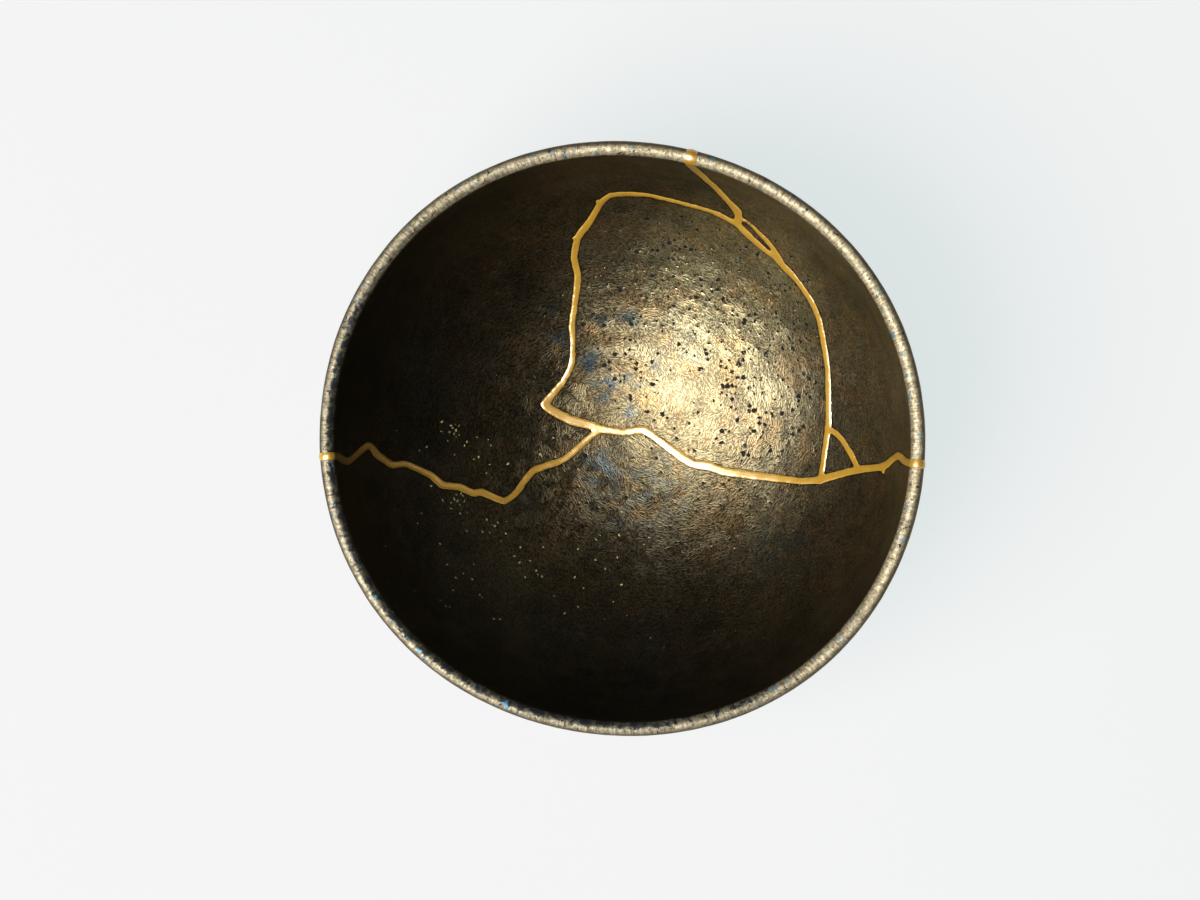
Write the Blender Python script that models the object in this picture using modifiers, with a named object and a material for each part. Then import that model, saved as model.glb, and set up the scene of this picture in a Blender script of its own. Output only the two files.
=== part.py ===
# Kintsugi tea bowl: six glazed sherds joined by one network of gold lacquer.
# Metres, Z up. +X is the photo's right, +Y the photo's top, the foot stands on Z = 0.
import math

import bmesh
import bpy
from mathutils import Vector
from mathutils.geometry import delaunay_2d_cdt

for old in list(bpy.data.objects):
    bpy.data.objects.remove(old, do_unlink=True)

# Driving sizes of the bowl
RIM_DIAMETER = 0.125
HEIGHT = 0.069
LIP_THICKNESS = 0.0033
FLOOR_THICKNESS = 0.0062
FOOT_DIAMETER = 0.052
FOOT_WIDTH = 0.0062
FOOT_HEIGHT = 0.0072
FOOT_RECESS = 0.0050
GOLD_RISE = 0.00025
GAP = 0.0003

# Shape of the hand-made body, as shares of its own size
FULLNESS = 2.15
OVAL = 0.0125
OVAL_ANGLE = math.radians(-19.7)
SQUARE = 0.004
SQUARE_ANGLE = math.radians(37.5)
RIM_WAVE = 0.006
RIM_WAVE_ANGLE = math.radians(62.0)
AROUND = 72

RIM_RADIUS = RIM_DIAMETER / 2
FOOT_RADIUS = FOOT_DIAMETER / 2
LIP_RADIUS = LIP_THICKNESS / 2
LIP_LEVEL = HEIGHT - LIP_RADIUS
INNER_RADIUS = RIM_RADIUS - LIP_THICKNESS
INNER_FLOOR = FOOT_RECESS + FLOOR_THICKNESS

# Where the photo shows the bowl, in pixels of its 1200 by 900 frame
PHOTO_CENTRE = (622.5, 438.5)
PHOTO_RIM_RADIUS = 302.9
CAMERA_ABOVE_RIM = 4.8 * RIM_DIAMETER

# Course of each break as (x, y, width of the gold), read by eye in that frame
SEAMS = {
    "left_break": (
        (270, 455, 9), (306, 455, 9), (317, 455, 9), (338, 456, 8), (348, 462, 7),
        (369, 445, 7), (378, 455, 8), (393, 465, 7.5), (407, 464, 7), (431, 475, 7.5),
        (443, 485, 8), (460, 487, 7.5), (474, 493, 8), (482, 492, 8), (504, 501, 7),
        (516, 493, 7), (533, 471, 7.5), (565, 459, 7), (590, 437, 6.5), (603, 428, 7),
    ),
    "centre_edge": (
        (720, 215, 5), (700, 208.5, 5), (667, 200, 5), (647, 195.5, 5), (626, 194.5, 5.5),
        (610, 196, 5.5), (601, 203, 6.5), (590, 222, 7.5), (578, 238, 7.5), (574, 258, 7),
        (578, 276, 7.5), (576, 296, 7), (572, 327, 7), (573, 340, 6), (572, 364, 6.5),
        (563, 382, 6.5), (545, 404, 8.5), (553, 411, 9), (571, 420, 9.5), (590, 425, 8.5),
        (602, 429, 7.5), (624, 432, 7), (644, 430, 7.5), (665, 445, 7), (686, 460, 8),
        (694, 464, 7), (709, 466, 8), (725, 471.5, 7.5), (747, 474.5, 7.5), (771, 477.5, 7.5),
        (801, 481, 7), (819, 480, 8), (836, 475, 8), (858, 469.5, 8), (883, 466.5, 7.5),
        (890, 461, 6.5), (898, 455, 7), (905, 462, 7.5), (913, 463.5, 9.5), (924, 463.5, 8.5),
        (975, 464, 8.5),
    ),
    "right_edge": (
        (714, 213, 5), (728, 220, 5.5), (736, 224, 6.5), (745, 233, 6), (760, 245.5, 6),
        (774, 257, 6), (784, 268, 6), (797, 281.5, 5.5), (811, 302, 5.5), (819, 321, 5.5),
        (823, 341, 6), (827, 368, 5.5), (828, 400, 6), (828, 424, 6.5), (826, 440, 6),
        (823, 462, 6), (820, 481, 6.5),
    ),
    "top_break": (
        (680, 100, 8), (681, 148, 8), (684, 158, 8), (689, 165, 6.5), (703, 177, 5.5),
        (718, 191, 5.5), (730, 204, 6), (738, 213, 8), (738, 225, 7),
    ),
    "sliver_edge": (
        (738, 218, 5), (744, 218.5, 3.5), (754, 226, 4), (766, 237.5, 5), (775, 248.5, 5),
        (784, 264, 5),
    ),
    "small_edge": (
        (827, 428, 6), (834, 432, 6), (842, 440, 6), (850, 453, 6), (857, 467, 6),
    ),
    "corner_spur": ((603, 202, 4), (596.5, 201.5, 3)),
    "left_spur": ((578, 239, 5), (572.5, 238.5, 3)),
    "right_spur": ((882, 465, 6), (883, 473, 3)),
}

# A photo point inside each sherd
SHERDS = {
    "lower_shard": (620, 600),
    "upper_left_shard": (450, 330),
    "upper_right_shard": (870, 300),
    "centre_shard": (700, 340),
    "small_right_shard": (836, 460),
    "sliver_shard": (759, 238),
}


def superellipse(radius, half_width, depth):
    """Height below the lip level of a full, round wall at this radius."""
    share = min(radius / half_width, 1.0)
    return depth * (1.0 - share ** FULLNESS) ** (1.0 / FULLNESS)


def inner_wall(radius):
    return LIP_LEVEL - superellipse(radius, INNER_RADIUS, LIP_LEVEL - INNER_FLOOR)


def outer_depth():
    share = 1.0 - (FOOT_RADIUS / RIM_RADIUS) ** FULLNESS
    return (LIP_LEVEL - FOOT_HEIGHT) / share ** (1.0 / FULLNESS)


def outer_wall(radius):
    return LIP_LEVEL - superellipse(radius, RIM_RADIUS, outer_depth())


def round_share(step, steps):
    """Even steps along a quarter of the round wall."""
    return math.sin(0.5 * math.pi * step / steps)


def bowl_profile():
    """Half section from the inner floor, over the lip, down to the foot recess."""
    points = []
    inner_steps = 11
    for step in range(inner_steps + 1):
        radius = INNER_RADIUS * round_share(step, inner_steps)
        points.append((radius, inner_wall(radius)))
    lip_steps = 6
    for step in range(1, lip_steps):
        turn = math.pi * step / lip_steps
        points.append((
            INNER_RADIUS + LIP_RADIUS - LIP_RADIUS * math.cos(turn),
            LIP_LEVEL + LIP_RADIUS * math.sin(turn),
        ))
    outer_steps = 12
    last_radius = FOOT_RADIUS + 0.2 * FOOT_WIDTH
    last_share = math.asin(last_radius / RIM_RADIUS) / (0.5 * math.pi)
    for step in range(outer_steps + 1):
        share = 1.0 - (1.0 - last_share) * step / outer_steps
        radius = RIM_RADIUS * math.sin(0.5 * math.pi * share)
        points.append((radius, outer_wall(radius)))
    foot_inner = FOOT_RADIUS - FOOT_WIDTH
    points += [
        (FOOT_RADIUS + 0.03 * FOOT_WIDTH, 0.86 * FOOT_HEIGHT),
        (FOOT_RADIUS - 0.02 * FOOT_WIDTH, 0.66 * FOOT_HEIGHT),
        (FOOT_RADIUS - 0.06 * FOOT_WIDTH, 0.12 * FOOT_HEIGHT),
        (FOOT_RADIUS - 0.12 * FOOT_WIDTH, 0.03 * FOOT_HEIGHT),
        (FOOT_RADIUS - 0.20 * FOOT_WIDTH, 0.0),
        (foot_inner + 0.16 * FOOT_WIDTH, 0.0),
        (foot_inner + 0.05 * FOOT_WIDTH, 0.06 * FOOT_RECESS),
        (foot_inner, 0.20 * FOOT_RECESS),
        (foot_inner - 0.06 * FOOT_WIDTH, 0.82 * FOOT_RECESS),
        (foot_inner - 0.30 * FOOT_WIDTH, 0.98 * FOOT_RECESS),
        (0.35 * foot_inner, 1.03 * FOOT_RECESS),
        (0.0, 1.05 * FOOT_RECESS),
    ]
    return points


def grown_profile(points, rise):
    """The same half section standing proud by the rise, but never below the foot."""
    grown = []
    for index, (radius, level) in enumerate(points):
        before = points[max(index - 1, 0)]
        after = points[min(index + 1, len(points) - 1)]
        along = Vector((after[0] - before[0], after[1] - before[1])).normalized()
        new_radius = radius - rise * along.y
        new_level = level + rise * along.x
        if index in (0, len(points) - 1):
            new_radius = 0.0
        grown.append((new_radius, max(new_level, 0.4 * rise)))
    return grown


def out_of_round(angle, level):
    share = level / HEIGHT
    oval = OVAL * math.cos(2.0 * (angle - OVAL_ANGLE))
    square = SQUARE * math.cos(4.0 * (angle - SQUARE_ANGLE))
    return 1.0 + share * (oval + square)


def rim_wave(angle, level):
    share = level / HEIGHT
    return 1.0 + RIM_WAVE * share * math.cos(2.0 * (angle - RIM_WAVE_ANGLE))


def turned_body(name, points, collection):
    """Turn the half section about Z, then make it as oval as the photo shows it."""
    mesh = bpy.data.meshes.new(name + "_profile")
    mesh.from_pydata([(r, 0.0, z) for r, z in points],
                     [(i, i + 1) for i in range(len(points) - 1)], [])
    turned = bpy.data.objects.new(name + "_profile", mesh)
    collection.objects.link(turned)
    screw = turned.modifiers.new("Turned", "SCREW")
    screw.axis = "Z"
    screw.angle = 2.0 * math.pi
    screw.steps = AROUND
    screw.render_steps = AROUND
    screw.use_merge_vertices = True
    screw.merge_threshold = 0.00002
    screw.use_smooth_shade = True
    body = bpy.data.objects.new(name, evaluated_mesh(turned))
    body.data.name = name
    bpy.data.objects.remove(turned, do_unlink=True)
    for vertex in body.data.vertices:
        angle = math.atan2(vertex.co.y, vertex.co.x)
        level = vertex.co.z
        grow = out_of_round(angle, level)
        vertex.co.x *= grow
        vertex.co.y *= grow
        vertex.co.z *= rim_wave(angle, level)
    collection.objects.link(body)
    return body


def evaluated_mesh(thing):
    bpy.context.view_layer.update()
    graph = bpy.context.evaluated_depsgraph_get()
    return bpy.data.meshes.new_from_object(thing.evaluated_get(graph))


# The breaks run from the middle of the mouth outward, square to the wall
FOCUS = Vector((0.0, 0.0, HEIGHT))


def photo_to_metres(x, y):
    scale = RIM_RADIUS / PHOTO_RIM_RADIUS
    return Vector(((x - PHOTO_CENTRE[0]) * scale, (PHOTO_CENTRE[1] - y) * scale))


def seen_radius(radius, angle):
    """Where the camera above the bowl sees this point of the inner wall."""
    level = inner_wall(radius)
    depth = HEIGHT - level
    return radius * out_of_round(angle, level) * CAMERA_ABOVE_RIM / (CAMERA_ABOVE_RIM + depth)


def wall_point(seen):
    """The point of the inner wall, or above the rim, behind a point of the photo."""
    angle = math.atan2(seen.y, seen.x)
    edge = seen_radius(INNER_RADIUS, angle)
    if seen.length >= edge:
        radius = INNER_RADIUS
        level = LIP_LEVEL + 1.4 * (seen.length - edge)
    else:
        low = 0.0
        high = INNER_RADIUS
        for _ in range(40):
            radius = (low + high) / 2
            if seen_radius(radius, angle) < seen.length:
                low = radius
            else:
                high = radius
        level = inner_wall(radius)
    spread = radius * out_of_round(angle, min(level, HEIGHT))
    return Vector((spread * math.cos(angle), spread * math.sin(angle), level))


def ribbon(course, widen):
    """Outline of one gold line on the photo plane, with mitred bends."""
    centres = [photo_to_metres(x, y) for x, y, _ in course]
    scale = RIM_RADIUS / PHOTO_RIM_RADIUS
    left = []
    right = []
    for index, centre in enumerate(centres):
        before = centres[max(index - 1, 0)]
        after = centres[min(index + 1, len(centres) - 1)]
        arriving = (centre - before).normalized() if index else (after - centre).normalized()
        leaving = (after - centre).normalized() if after != centre else arriving
        middle = (arriving + leaving).normalized()
        across = Vector((-middle.y, middle.x))
        mitre = max(middle.dot(leaving), 0.6)
        half = (0.5 * course[index][2] * scale + widen) / mitre
        left.append(centre + across * half)
        right.append(centre - across * half)
    return right + left[::-1]


def network_wedge(name, widen, collection):
    """All gold lines as one body that runs out from the focus through the wall."""
    corners = []
    outlines = []
    for course in SEAMS.values():
        outline = ribbon(course, widen)
        outlines.append(list(range(len(corners), len(corners) + len(outline))))
        corners += outline
    flat, _, faces, _, _, inside = delaunay_2d_cdt(corners, [], outlines, 1, 1e-7)
    covered = [face for face, source in zip(faces, inside) if source]
    used = sorted({corner for face in covered for corner in face})
    order = {corner: place for place, corner in enumerate(used)}
    reach_in = 0.84 * min(INNER_RADIUS, HEIGHT - INNER_FLOOR)
    reach_out = 1.10 * math.hypot(max(RIM_RADIUS, FOOT_RADIUS), 0.6 * HEIGHT)
    reach_out = max(reach_out, 1.10 * math.hypot(FOOT_RADIUS, HEIGHT))
    near = []
    far = []
    for corner in used:
        ray = (wall_point(flat[corner]) - FOCUS).normalized()
        near.append(FOCUS + ray * reach_in)
        far.append(FOCUS + ray * reach_out)
    count = len(used)
    sides = {}
    body_faces = []
    for face in covered:
        loop = [order[corner] for corner in face]
        body_faces.append(loop)
        body_faces.append([corner + count for corner in reversed(loop)])
        for first, second in zip(loop, loop[1:] + loop[:1]):
            if (second, first) in sides:
                del sides[(second, first)]
            else:
                sides[(first, second)] = True
    for first, second in sides:
        body_faces.append([second, first, first + count, second + count])
    mesh = bpy.data.meshes.new(name)
    mesh.from_pydata(near + far, [], body_faces)
    work = bmesh.new()
    work.from_mesh(mesh)
    bmesh.ops.recalc_face_normals(work, faces=work.faces)
    work.to_mesh(mesh)
    work.free()
    wedge = bpy.data.objects.new(name, mesh)
    wedge.hide_render = True
    wedge.display_type = "WIRE"
    collection.objects.link(wedge)
    return wedge


def cut_mesh(body, tool, operation):
    """The mesh of one body after a Boolean with another."""
    cut = body.modifiers.new("Cut", "BOOLEAN")
    cut.operation = operation
    cut.solver = "EXACT"
    cut.object = tool
    mesh = evaluated_mesh(body)
    body.modifiers.remove(cut)
    return mesh


def loose_meshes(mesh):
    """Each separate body of a mesh as a mesh of its own."""
    work = bmesh.new()
    work.from_mesh(mesh)
    left = set(work.faces)
    pieces = []
    while left:
        reached = {left.pop()}
        edge_of_reach = list(reached)
        while edge_of_reach:
            face = edge_of_reach.pop()
            for edge in face.edges:
                for other in edge.link_faces:
                    if other in left:
                        left.discard(other)
                        reached.add(other)
                        edge_of_reach.append(other)
        piece = bmesh.new()
        copies = {}
        for face in reached:
            for vertex in face.verts:
                if vertex not in copies:
                    copies[vertex] = piece.verts.new(vertex.co)
            made = piece.faces.new([copies[vertex] for vertex in face.verts])
            made.smooth = face.smooth
        new_mesh = bpy.data.meshes.new("piece")
        piece.to_mesh(new_mesh)
        piece.free()
        pieces.append(new_mesh)
    work.free()
    return pieces


def material(name, colour, metallic, roughness):
    made = bpy.data.materials.new(name)
    made.use_nodes = True
    shader = made.node_tree.nodes["Principled BSDF"]
    shader.inputs["Base Color"].default_value = (*colour, 1.0)
    shader.inputs["Metallic"].default_value = metallic
    shader.inputs["Roughness"].default_value = roughness
    return made


def finish(thing, finish_material):
    thing.data.materials.clear()
    thing.data.materials.append(finish_material)
    for face in thing.data.polygons:
        face.material_index = 0
        face.use_smooth = True
    thing.data.set_sharp_from_angle(angle=math.radians(38.0))


bowl_collection = bpy.data.collections.new("kintsugi_bowl")
tool_collection = bpy.data.collections.new("break_tools")
bpy.context.scene.collection.children.link(bowl_collection)
bpy.context.scene.collection.children.link(tool_collection)

glaze = material("bronze_glaze", (0.050, 0.042, 0.030), 0.6, 0.42)
gold = material("gold_lacquer", (0.83, 0.53, 0.13), 1.0, 0.38)

# The whole bowl, then the breaks cut out of it
whole = turned_body("whole_bowl", bowl_profile(), tool_collection)
break_tool = network_wedge("break_tool", 0.5 * GAP, tool_collection)
broken = cut_mesh(whole, break_tool, "DIFFERENCE")
sherd_meshes = loose_meshes(broken)
bpy.data.meshes.remove(broken)

for name, (x, y) in SHERDS.items():
    place = wall_point(photo_to_metres(x, y))

    def distance(mesh):
        probe = bpy.data.objects.new("probe", mesh)
        tool_collection.objects.link(probe)
        bpy.context.view_layer.update()
        found, spot, _, _ = probe.closest_point_on_mesh(place)
        bpy.data.objects.remove(probe, do_unlink=True)
        return (spot - place).length if found else 1.0

    nearest = min(sherd_meshes, key=distance)
    sherd_meshes.remove(nearest)
    nearest.name = name
    sherd = bpy.data.objects.new(name, nearest)
    bowl_collection.objects.link(sherd)
    finish(sherd, glaze)

# The gold fills the breaks and stands a little proud of both faces and the rim
proud = turned_body("proud_bowl", grown_profile(bowl_profile(), GOLD_RISE), tool_collection)
gold_tool = network_wedge("gold_tool", -0.5 * GAP, tool_collection)
seam = bpy.data.objects.new("gold_seam", cut_mesh(proud, gold_tool, "INTERSECT"))
bowl_collection.objects.link(seam)
finish(seam, gold)

for tool in (whole, proud, break_tool, gold_tool):
    tool.hide_render = True
    tool.display_type = "WIRE"
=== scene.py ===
# Kintsugi tea bowl: bronze-black glaze over thrown ware, joined with raised gold lacquer.
import math
import random

import bpy
import numpy as np
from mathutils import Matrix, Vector, noise
from mathutils.geometry import delaunay_2d_cdt


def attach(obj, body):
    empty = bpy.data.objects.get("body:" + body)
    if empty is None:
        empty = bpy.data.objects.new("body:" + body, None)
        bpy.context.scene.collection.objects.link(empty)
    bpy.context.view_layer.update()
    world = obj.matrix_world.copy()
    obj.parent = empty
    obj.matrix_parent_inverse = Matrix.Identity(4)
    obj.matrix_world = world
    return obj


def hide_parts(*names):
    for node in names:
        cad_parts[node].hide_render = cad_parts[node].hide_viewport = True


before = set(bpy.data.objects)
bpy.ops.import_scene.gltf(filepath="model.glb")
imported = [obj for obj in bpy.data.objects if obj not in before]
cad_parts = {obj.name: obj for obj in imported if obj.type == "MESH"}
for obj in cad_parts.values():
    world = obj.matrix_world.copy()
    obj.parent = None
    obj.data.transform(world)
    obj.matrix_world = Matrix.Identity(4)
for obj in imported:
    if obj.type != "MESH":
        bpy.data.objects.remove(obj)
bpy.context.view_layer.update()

# Sizes of the bowl, the same as the solids have, in metres
RIM_DIAMETER = 0.125
HEIGHT = 0.069
LIP_THICKNESS = 0.0033
FLOOR_THICKNESS = 0.0062
FOOT_DIAMETER = 0.052
FOOT_WIDTH = 0.0062
FOOT_HEIGHT = 0.0072
FOOT_RECESS = 0.0050
GOLD_RISE = 0.00025

FULLNESS = 2.15
OVAL = 0.0125
OVAL_ANGLE = math.radians(-19.7)
SQUARE = 0.004
SQUARE_ANGLE = math.radians(37.5)
RIM_WAVE = 0.006
RIM_WAVE_ANGLE = math.radians(62.0)

RIM_RADIUS = RIM_DIAMETER / 2
FOOT_RADIUS = FOOT_DIAMETER / 2
LIP_RADIUS = LIP_THICKNESS / 2
LIP_LEVEL = HEIGHT - LIP_RADIUS
INNER_RADIUS = RIM_RADIUS - LIP_THICKNESS
INNER_FLOOR = FOOT_RECESS + FLOOR_THICKNESS

# The photo's frame, in pixels of 1200 by 900
PHOTO_SIZE = (1200, 900)
PHOTO_CENTRE = (622.5, 438.5)
PHOTO_RIM_RADIUS = 302.9
CAMERA_ABOVE_RIM = 4.8 * RIM_DIAMETER
PIXEL = RIM_RADIUS / PHOTO_RIM_RADIUS

# How fine the meshes are, in metres
GLAZE_STEP = 0.00085
OUTER_STEP = 0.0012
FOOT_STEP = 0.00055
GOLD_STEP = 0.00030
EDGE_STEP = 0.00042
GLAZE_OFF_RIM = 0.00012
GOLD_OFF_RIM = 0.00010

# Rows over the lip, points round the rim and the angle from which an edge is sharp
LIP_ROWS = 14
RIM_POINTS = 460
SHARP_ANGLE = math.radians(42)

# Depth of the pinholes, and how far the lip, the foot and its sole reach, in metres
PIT_DEPTH = 0.00010
LIP_FADE = 0.0015
FOOT_FADE = 0.004
FOOT_ZONE = 0.012
SOLE_FLAT = 0.0002
SOLE_FADE = 0.0008

# How far points keep from the edge of the gold, in pixels, and how high an even triangle is
GLAZE_OFF_GOLD = 1.4
GOLD_OFF_EDGE = 0.55
TRIANGLE_HEIGHT = 0.866

# Course of each break as (x, y, width of the gold) in the photo's frame
SEAMS = (
    # left break, from the rim to the meeting point near the middle
    ((270, 455, 9), (306, 455, 9), (317, 455, 9), (338, 456, 8), (348, 462, 7),
     (369, 445, 7), (378, 455, 8), (393, 465, 7.5), (407, 464, 7), (431, 475, 7.5),
     (443, 485, 8), (460, 487, 7.5), (474, 493, 8), (482, 492, 8), (504, 501, 7),
     (516, 493, 7), (533, 471, 7.5), (565, 459, 7), (590, 437, 6.5), (603, 428, 7)),
    # edge of the middle sherd, from its top round to the right rim
    ((720, 215, 4.4), (700, 208.5, 4.2), (667, 200, 4.2), (647, 195.5, 4.4), (626, 194.5, 5.2),
     (610, 196, 5.5), (601, 203, 6.5), (590, 222, 7.5), (578, 238, 7.5), (574, 258, 7),
     (578, 276, 7.5), (576, 296, 7), (572, 327, 7), (573, 340, 6), (572, 364, 6.5),
     (563, 382, 6.5), (545, 404, 8.5), (553, 411, 9.2), (571, 420, 10), (590, 425, 9.2),
     (602, 429, 8.4), (624, 432, 8), (644, 430, 8.6), (665, 445, 8.4), (686, 460, 9.2),
     (694, 464, 9), (709, 466, 9.4), (725, 471.5, 9), (747, 474.5, 8.4), (771, 477.5, 8),
     (801, 481, 7), (819, 480, 8), (836, 475, 8), (858, 469.5, 8), (883, 466.5, 7.5),
     (890, 461, 6.5), (898, 455, 7), (905, 462, 7.5), (913, 463.5, 9.5), (924, 463.5, 8.5),
     (975, 464, 8.5)),
    # right edge of the middle sherd
    ((714, 213, 4.6), (728, 220, 5), (736, 224, 6), (743, 230.5, 6.5), (751, 238.5, 6),
     (758.5, 245, 6), (766, 251.5, 5), (775, 258, 5.5), (781, 264.5, 6.5), (789.5, 273, 6.5),
     (797, 281.5, 5.5), (811, 302, 5.5), (819, 321, 5.5),
     (823, 341, 6), (827, 368, 5.5), (828, 400, 6), (828, 424, 6.5), (826, 440, 6),
     (823, 462, 6), (820, 481, 6.5)),
    # top break, from the rim down to the blob
    ((680, 100, 8), (681, 148, 8), (684, 158, 8), (689, 165, 6.5), (703, 177, 5.5),
     (718, 191, 5.5), (730, 204, 6), (738, 213, 8), (738, 225, 7)),
    # outer line of the sliver
    ((738, 218, 4), (745.5, 221, 3), (752, 226, 3.4), (760, 234.5, 4.2), (767, 241.5, 5),
     (772, 248, 4.6), (778.5, 257, 4.2), (783, 264.5, 4)),
    # outer line of the small triangle
    ((827, 428, 6), (834, 432, 6), (842, 440, 6), (850, 453, 6), (857, 467, 6)),
    # short spurs
    ((603, 202, 4), (596.5, 201.5, 3)),
    ((578, 239, 5), (572.5, 238.5, 3)),
    ((882, 465, 6), (883, 473, 3)),
)

# A photo point inside each sherd, and how light its glaze is made: partly its own tone, partly
# painted light, lighter where the lamp's highlight spreads over the middle sherd and darker on the
# shaded upper left
SHERDS = {
    "lower_shard": (620, 600, 1.02),
    "upper_left_shard": (450, 330, 0.86),
    "upper_right_shard": (870, 300, 1.10),
    "centre_shard": (700, 340, 1.26),
    "small_right_shard": (836, 460, 1.15),
    "sliver_shard": (757, 238, 1.0),
}


# Form of the bowl, turned round its axis
def inner_level(radius):
    """Level of the inner wall at a radius."""
    share = np.clip(np.asarray(radius) / INNER_RADIUS, 0.0, 1.0)
    depth = LIP_LEVEL - INNER_FLOOR
    return LIP_LEVEL - depth * (1.0 - share ** FULLNESS) ** (1.0 / FULLNESS)


def outer_level(radius):
    """Level of the outer wall above the foot at a radius."""
    foot_share = 1.0 - (FOOT_RADIUS / RIM_RADIUS) ** FULLNESS
    depth = (LIP_LEVEL - FOOT_HEIGHT) / foot_share ** (1.0 / FULLNESS)
    share = np.clip(np.asarray(radius) / RIM_RADIUS, 0.0, 1.0)
    return LIP_LEVEL - depth * (1.0 - share ** FULLNESS) ** (1.0 / FULLNESS)


def rounded(points, rounds):
    """Cut the corners of an open outline a few times, keeping its ends."""
    for _ in range(rounds):
        softer = [points[0]]
        for a, b in zip(points[:-1], points[1:]):
            softer.append(a * 0.75 + b * 0.25)
            softer.append(a * 0.25 + b * 0.75)
        softer.append(points[-1])
        points = softer
    return points


def outer_section():
    """Half section of the underside and outer wall, from the axis out to the lip."""
    inside = FOOT_RADIUS - FOOT_WIDTH
    foot = [
        (0.0, 1.05 * FOOT_RECESS),
        (0.35 * inside, 1.03 * FOOT_RECESS),
        (inside - 0.30 * FOOT_WIDTH, 0.98 * FOOT_RECESS),
        (inside - 0.06 * FOOT_WIDTH, 0.82 * FOOT_RECESS),
        (inside, 0.20 * FOOT_RECESS),
        (inside + 0.05 * FOOT_WIDTH, 0.06 * FOOT_RECESS),
        (inside + 0.16 * FOOT_WIDTH, 0.0),
        (FOOT_RADIUS - 0.20 * FOOT_WIDTH, 0.0),
        (FOOT_RADIUS - 0.12 * FOOT_WIDTH, 0.03 * FOOT_HEIGHT),
        (FOOT_RADIUS - 0.06 * FOOT_WIDTH, 0.12 * FOOT_HEIGHT),
        (FOOT_RADIUS - 0.02 * FOOT_WIDTH, 0.66 * FOOT_HEIGHT),
        (FOOT_RADIUS + 0.03 * FOOT_WIDTH, 0.86 * FOOT_HEIGHT),
    ]
    first = FOOT_RADIUS + 0.2 * FOOT_WIDTH
    foot.append((first, float(outer_level(first))))
    foot.append((1.06 * first, float(outer_level(1.06 * first))))
    foot = rounded([np.array(point) for point in foot], 2)
    start = math.asin(1.08 * first / RIM_RADIUS)
    for angle in np.linspace(start, 0.5 * math.pi, 120):
        radius = RIM_RADIUS * math.sin(angle)
        foot.append(np.array((radius, float(outer_level(radius)))))
    return np.array(foot)


def out_of_round(angle, level):
    """How much wider than a round bowl it is at an angle, more towards the rim."""
    share = level / HEIGHT
    oval = OVAL * np.cos(2.0 * (angle - OVAL_ANGLE))
    square = SQUARE * np.cos(4.0 * (angle - SQUARE_ANGLE))
    return 1.0 + share * (oval + square)


def turned(radius, angle, level):
    """Points of the round bowl, before it is made oval."""
    return np.stack((radius * np.cos(angle), radius * np.sin(angle), level), axis=-1)


def placed(radius, angle, level):
    """Points in the part's frame, oval and slightly waved as the bowl is."""
    spread = radius * out_of_round(angle, level)
    wave = 1.0 + RIM_WAVE * level / HEIGHT * np.cos(2.0 * (angle - RIM_WAVE_ANGLE))
    return np.stack((spread * np.cos(angle), spread * np.sin(angle), level * wave), axis=-1)


def seen_radius(radius, angle):
    """Where the camera sees a point of the inner wall, on the plane of the rim."""
    level = inner_level(radius)
    depth = HEIGHT - level
    return radius * out_of_round(angle, level) * CAMERA_ABOVE_RIM / (CAMERA_ABOVE_RIM + depth)


def wall_radius(seen, angle):
    """Radius of the inner wall behind a seen radius, found by halving."""
    low = np.zeros_like(seen)
    high = np.full_like(seen, INNER_RADIUS)
    for _ in range(36):
        middle = 0.5 * (low + high)
        inward = seen_radius(middle, angle) < seen
        low = np.where(inward, middle, low)
        high = np.where(inward, high, middle)
    return 0.5 * (low + high)


def section_normals(section):
    """Unit normals of a half section that runs outward, pointing to its right."""
    along = np.gradient(section, axis=0)
    along /= np.linalg.norm(along, axis=1)[:, None]
    return np.stack((along[:, 1], -along[:, 0]), axis=-1)


# The outer section, and the angle at which each point of it is seen from the middle of the mouth
LEAST_TURN = math.radians(60.0)
OUTER = outer_section()
OUTER_NORMAL = section_normals(OUTER)
OUTER_STEPS = np.concatenate(([0.0], np.cumsum(np.linalg.norm(np.diff(OUTER, axis=0), axis=1))))
OUTER_TURN = np.arctan2(OUTER[:, 0], HEIGHT - OUTER[:, 1])
for row in range(1, len(OUTER_TURN)):
    rise = LEAST_TURN * (OUTER_STEPS[row] - OUTER_STEPS[row - 1])
    OUTER_TURN[row] = max(OUTER_TURN[row], OUTER_TURN[row - 1] + rise)
INNER_EDGE_TURN = math.atan2(INNER_RADIUS, LIP_RADIUS)
OUTER_TURN *= INNER_EDGE_TURN / OUTER_TURN[-1]


def inner_turn(radius):
    """Angle from straight down, seen from the middle of the mouth."""
    return np.arctan2(radius, HEIGHT - inner_level(radius))


# Radii of the inner wall with the run of the wall up to each, and how many are left to the lip
RADII = np.linspace(0.0, INNER_RADIUS, 6000)
LIP_SAMPLES = 60
INNER_RUN = np.concatenate((
    [0.0], np.cumsum(np.hypot(np.diff(RADII), np.diff(inner_level(RADII))))))
RUN_TO_LIP = INNER_RUN[-1] - INNER_RUN


def inner_normal(radius):
    """Unit normals of the inner wall, pointing into the bowl."""
    step = 0.00002
    low = np.clip(radius - step, 0.0, INNER_RADIUS * 0.99999)
    high = np.clip(radius + step, 0.0, INNER_RADIUS * 0.99999)
    high = np.maximum(high, low + 1e-7)
    slope = (inner_level(high) - inner_level(low)) / (high - low)
    length = np.sqrt(1.0 + slope ** 2)
    return np.stack((-slope / length, 1.0 / length), axis=-1)


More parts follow.
